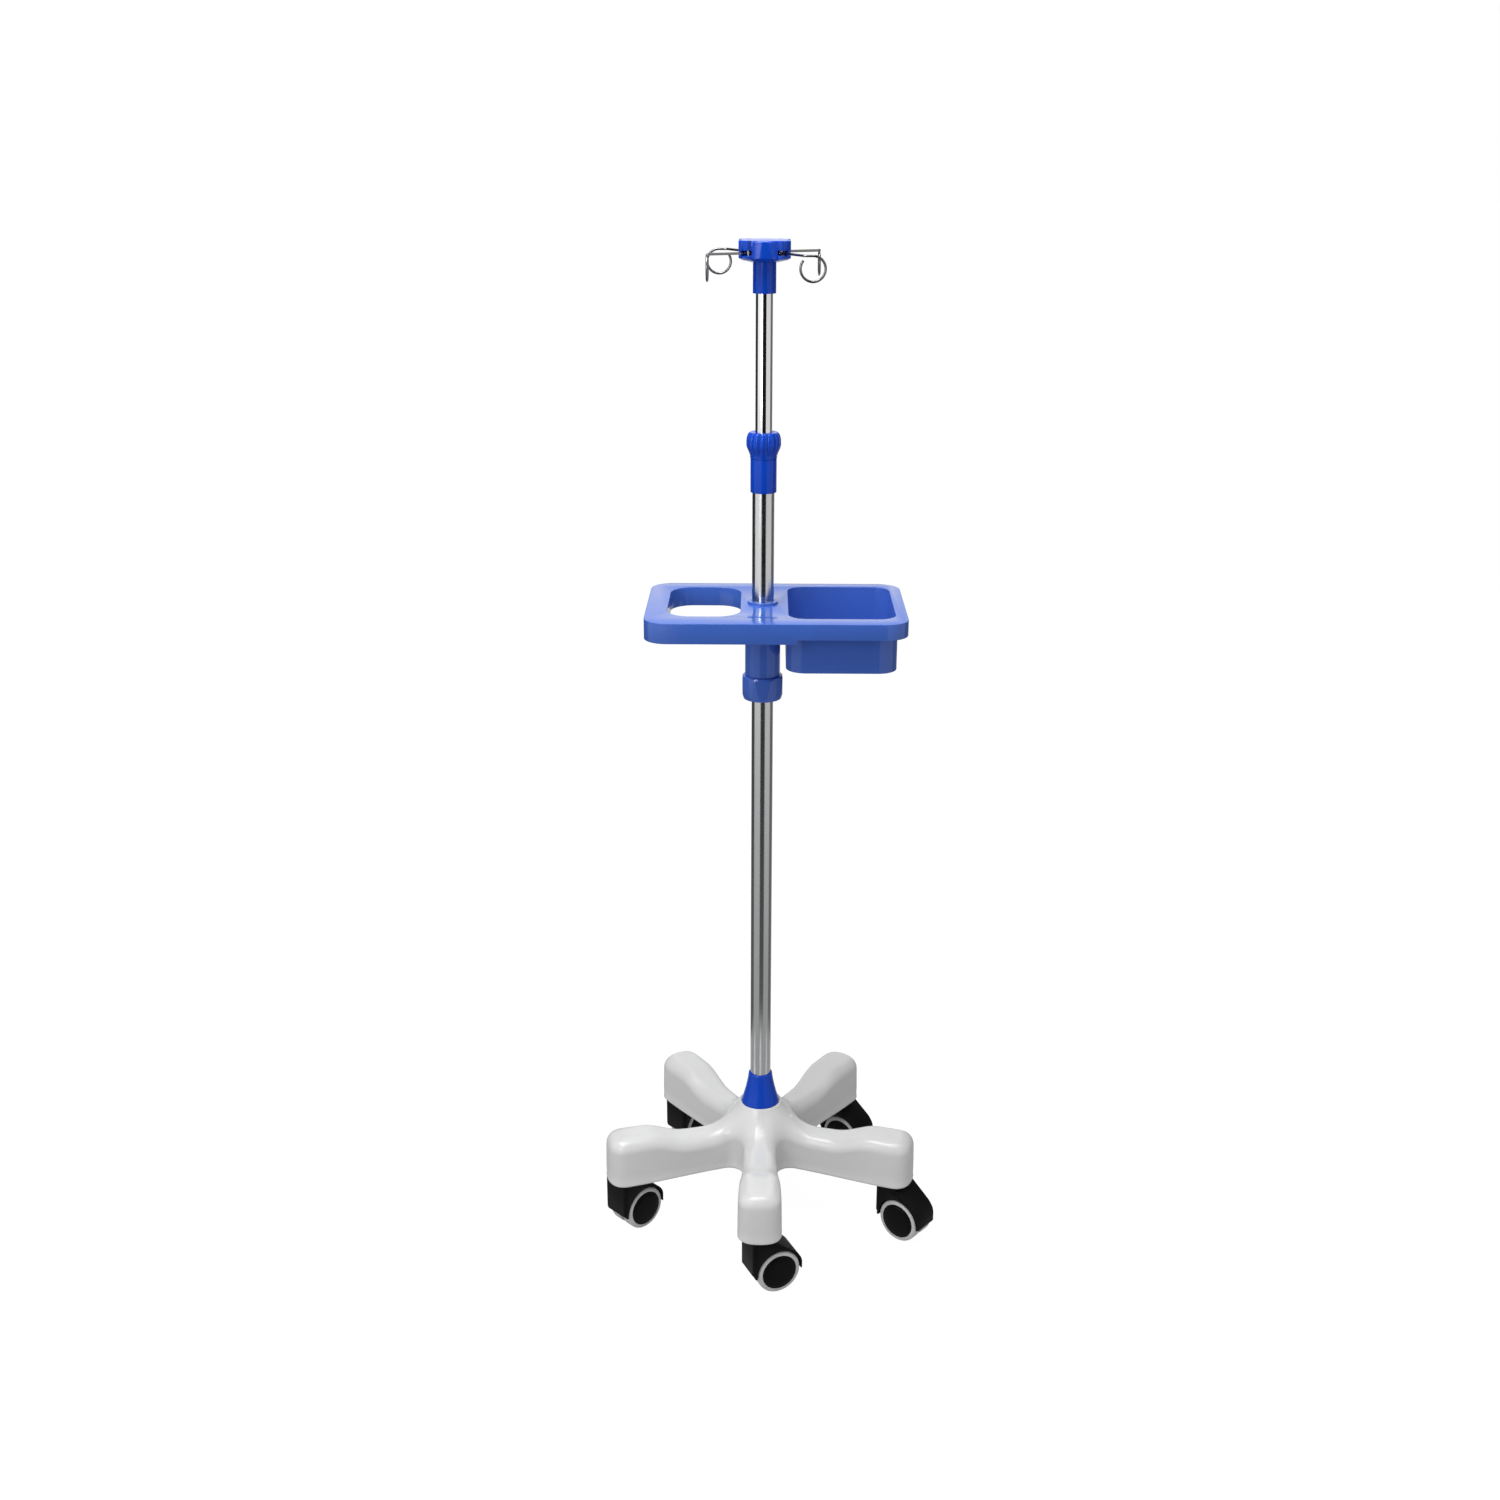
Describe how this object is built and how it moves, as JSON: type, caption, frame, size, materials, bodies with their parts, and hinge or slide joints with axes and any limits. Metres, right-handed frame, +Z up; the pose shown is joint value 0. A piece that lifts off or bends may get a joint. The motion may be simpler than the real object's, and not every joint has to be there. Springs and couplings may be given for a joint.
{
  "type": "iv drip stand",
  "caption": "Telescopic stand on a rolling star base: blue-capped pole with a twist lock, a sliding tray with a bottle hole and a basket, and a head with swinging ring hooks.",
  "frame": {"origin": "on the floor, on the axis of the pole", "axes": "+Z up along the pole; one leg points to -Y, and the tray lies along X with its basket on the +X side"},
  "size_m": [0.4055, 0.3862, 1.1875],
  "materials": {
    "white_plastic": "gloss",
    "blue_plastic": "gloss",
    "tray_plastic": "gloss",
    "chrome_tube": "polished",
    "satin_tube": "satin",
    "plated_steel": "satin",
    "hook_wire": "polished",
    "white_nylon": "matt",
    "black_plastic": "satin",
    "grey_tread": "matt"
  },
  "bodies": {
    "stand": {"base_shell": "white_plastic", "stem_sockets": "white_plastic", "caster_stems": "plated_steel", "pole_socket": "plated_steel", "base_washer": "plated_steel", "base_bolt": "plated_steel", "tube_plug": "plated_steel", "outer_tube": "satin_tube", "base_cone": "blue_plastic", "lock_sleeve": "blue_plastic", "lock_collet": "white_nylon"},
    "lock_knob": {"lock_knob": "blue_plastic"},
    "mast_guide": {"mast_guide": "white_nylon"},
    "mast": {"inner_tube": "chrome_tube", "hook_head": "blue_plastic", "hook_pins": "plated_steel", "head_screw": "plated_steel"},
    "tray_clamp": {"tray_collet": "white_nylon"},
    "tray": {"tray": "tray_plastic"},
    "tray_nut": {"tray_nut": "tray_plastic"},
    "hook_1": {"hook_1": "hook_wire"},
    "hook_2": {"hook_2": "hook_wire"},
    "hook_3": {"hook_3": "hook_wire"},
    "hook_4": {"hook_4": "hook_wire"},
    "caster_1": {"caster_hood_1": "black_plastic", "caster_axle_1": "plated_steel"},
    "wheel_1a": {"tyre_1a": "grey_tread", "wheel_1a": "black_plastic"},
    "wheel_1b": {"tyre_1b": "grey_tread", "wheel_1b": "black_plastic"},
    "caster_2": {"caster_hood_2": "black_plastic", "caster_axle_2": "plated_steel"},
    "wheel_2a": {"tyre_2a": "grey_tread", "wheel_2a": "black_plastic"},
    "wheel_2b": {"tyre_2b": "grey_tread", "wheel_2b": "black_plastic"},
    "caster_3": {"caster_hood_3": "black_plastic", "caster_axle_3": "plated_steel"},
    "wheel_3a": {"tyre_3a": "grey_tread", "wheel_3a": "black_plastic"},
    "wheel_3b": {"tyre_3b": "grey_tread", "wheel_3b": "black_plastic"},
    "caster_4": {"caster_hood_4": "black_plastic", "caster_axle_4": "plated_steel"},
    "wheel_4a": {"tyre_4a": "grey_tread", "wheel_4a": "black_plastic"},
    "wheel_4b": {"tyre_4b": "grey_tread", "wheel_4b": "black_plastic"},
    "caster_5": {"caster_hood_5": "black_plastic", "caster_axle_5": "plated_steel"},
    "wheel_5a": {"tyre_5a": "grey_tread", "wheel_5a": "black_plastic"},
    "wheel_5b": {"tyre_5b": "grey_tread", "wheel_5b": "black_plastic"}
  },
  "joints": [
    {"name": "lock_turn", "type": "hinge", "parent": "stand", "child": "lock_knob", "pos_m": [0, 0, 0.97], "axis": [0, 0, 1], "range_deg": [0, 180]},
    {"name": "mast_slide", "type": "slide", "parent": "stand", "child": "mast_guide", "axis": [0, 0, 1], "range_m": [-0.0875, 0.7925]},
    {"name": "mast_swivel", "type": "hinge", "parent": "mast_guide", "child": "mast", "pos_m": [0, 0, 0.97], "axis": [0, 0, 1], "continuous": true},
    {"name": "tray_slide", "type": "slide", "parent": "stand", "child": "tray_clamp", "axis": [0, 0, 1], "range_m": [-0.48, 0.12]},
    {"name": "tray_swivel", "type": "hinge", "parent": "tray_clamp", "child": "tray", "pos_m": [0, 0, 0.791], "axis": [0, 0, 1], "continuous": true},
    {"name": "tray_nut_turn", "type": "hinge", "parent": "tray_clamp", "child": "tray_nut", "pos_m": [0, 0, 0.69], "axis": [0, 0, 1], "range_deg": [0, 180]},
    {"name": "hook_1_swing", "type": "hinge", "parent": "mast", "child": "hook_1", "pos_m": [0.01697, 0.01697, 1.1746], "axis": [0, 0, 1], "range_deg": [-30, 30]},
    {"name": "hook_2_swing", "type": "hinge", "parent": "mast", "child": "hook_2", "pos_m": [-0.01697, 0.01697, 1.1746], "axis": [0, 0, 1], "range_deg": [-30, 30]},
    {"name": "hook_3_swing", "type": "hinge", "parent": "mast", "child": "hook_3", "pos_m": [-0.01697, -0.01697, 1.1746], "axis": [0, 0, 1], "range_deg": [-30, 30]},
    {"name": "hook_4_swing", "type": "hinge", "parent": "mast", "child": "hook_4", "pos_m": [0.01697, -0.01697, 1.1746], "axis": [0, 0, 1], "range_deg": [-30, 30]},
    {"name": "caster_1_swivel", "type": "hinge", "parent": "stand", "child": "caster_1", "pos_m": [0, -0.176, 0.073], "axis": [0, 0, 1], "continuous": true},
    {"name": "wheel_1a_spin", "type": "hinge", "parent": "caster_1", "child": "wheel_1a", "pos_m": [0.01631, -0.16839, 0.027], "axis": [-0.4226, 0.9063, 0], "continuous": true},
    {"name": "wheel_1b_spin", "type": "hinge", "parent": "caster_1", "child": "wheel_1b", "pos_m": [0.01631, -0.16839, 0.027], "axis": [-0.4226, 0.9063, 0], "continuous": true},
    {"name": "caster_2_swivel", "type": "hinge", "parent": "stand", "child": "caster_2", "pos_m": [0.16739, -0.05439, 0.073], "axis": [0, 0, 1], "continuous": true},
    {"name": "wheel_2a_spin", "type": "hinge", "parent": "caster_2", "child": "wheel_2a", "pos_m": [0.18117, -0.06596, 0.027], "axis": [0.6428, 0.766, 0], "continuous": true},
    {"name": "wheel_2b_spin", "type": "hinge", "parent": "caster_2", "child": "wheel_2b", "pos_m": [0.18117, -0.06596, 0.027], "axis": [0.6428, 0.766, 0], "continuous": true},
    {"name": "caster_3_swivel", "type": "hinge", "parent": "stand", "child": "caster_3", "pos_m": [0.10345, 0.14239, 0.073], "axis": [0, 0, 1], "continuous": true},
    {"name": "wheel_3a_spin", "type": "hinge", "parent": "caster_3", "child": "wheel_3a", "pos_m": [0.11763, 0.13131, 0.027], "axis": [0.6157, 0.788, 0], "continuous": true},
    {"name": "wheel_3b_spin", "type": "hinge", "parent": "caster_3", "child": "wheel_3b", "pos_m": [0.11763, 0.13131, 0.027], "axis": [0.6157, 0.788, 0], "continuous": true},
    {"name": "caster_4_swivel", "type": "hinge", "parent": "stand", "child": "caster_4", "pos_m": [-0.10345, 0.14239, 0.073], "axis": [0, 0, 1], "continuous": true},
    {"name": "wheel_4a_spin", "type": "hinge", "parent": "caster_4", "child": "wheel_4a", "pos_m": [-0.09072, 0.15511, 0.027], "axis": [-0.7071, 0.7071, 0], "continuous": true},
    {"name": "wheel_4b_spin", "type": "hinge", "parent": "caster_4", "child": "wheel_4b", "pos_m": [-0.09072, 0.15511, 0.027], "axis": [-0.7071, 0.7071, 0], "continuous": true},
    {"name": "caster_5_swivel", "type": "hinge", "parent": "stand", "child": "caster_5", "pos_m": [-0.16739, -0.05439, 0.073], "axis": [0, 0, 1], "continuous": true},
    {"name": "wheel_5a_spin", "type": "hinge", "parent": "caster_5", "child": "wheel_5a", "pos_m": [-0.15466, -0.04166, 0.027], "axis": [-0.7071, 0.7071, 0], "continuous": true},
    {"name": "wheel_5b_spin", "type": "hinge", "parent": "caster_5", "child": "wheel_5b", "pos_m": [-0.15466, -0.04166, 0.027], "axis": [-0.7071, 0.7071, 0], "continuous": true}
  ]
}
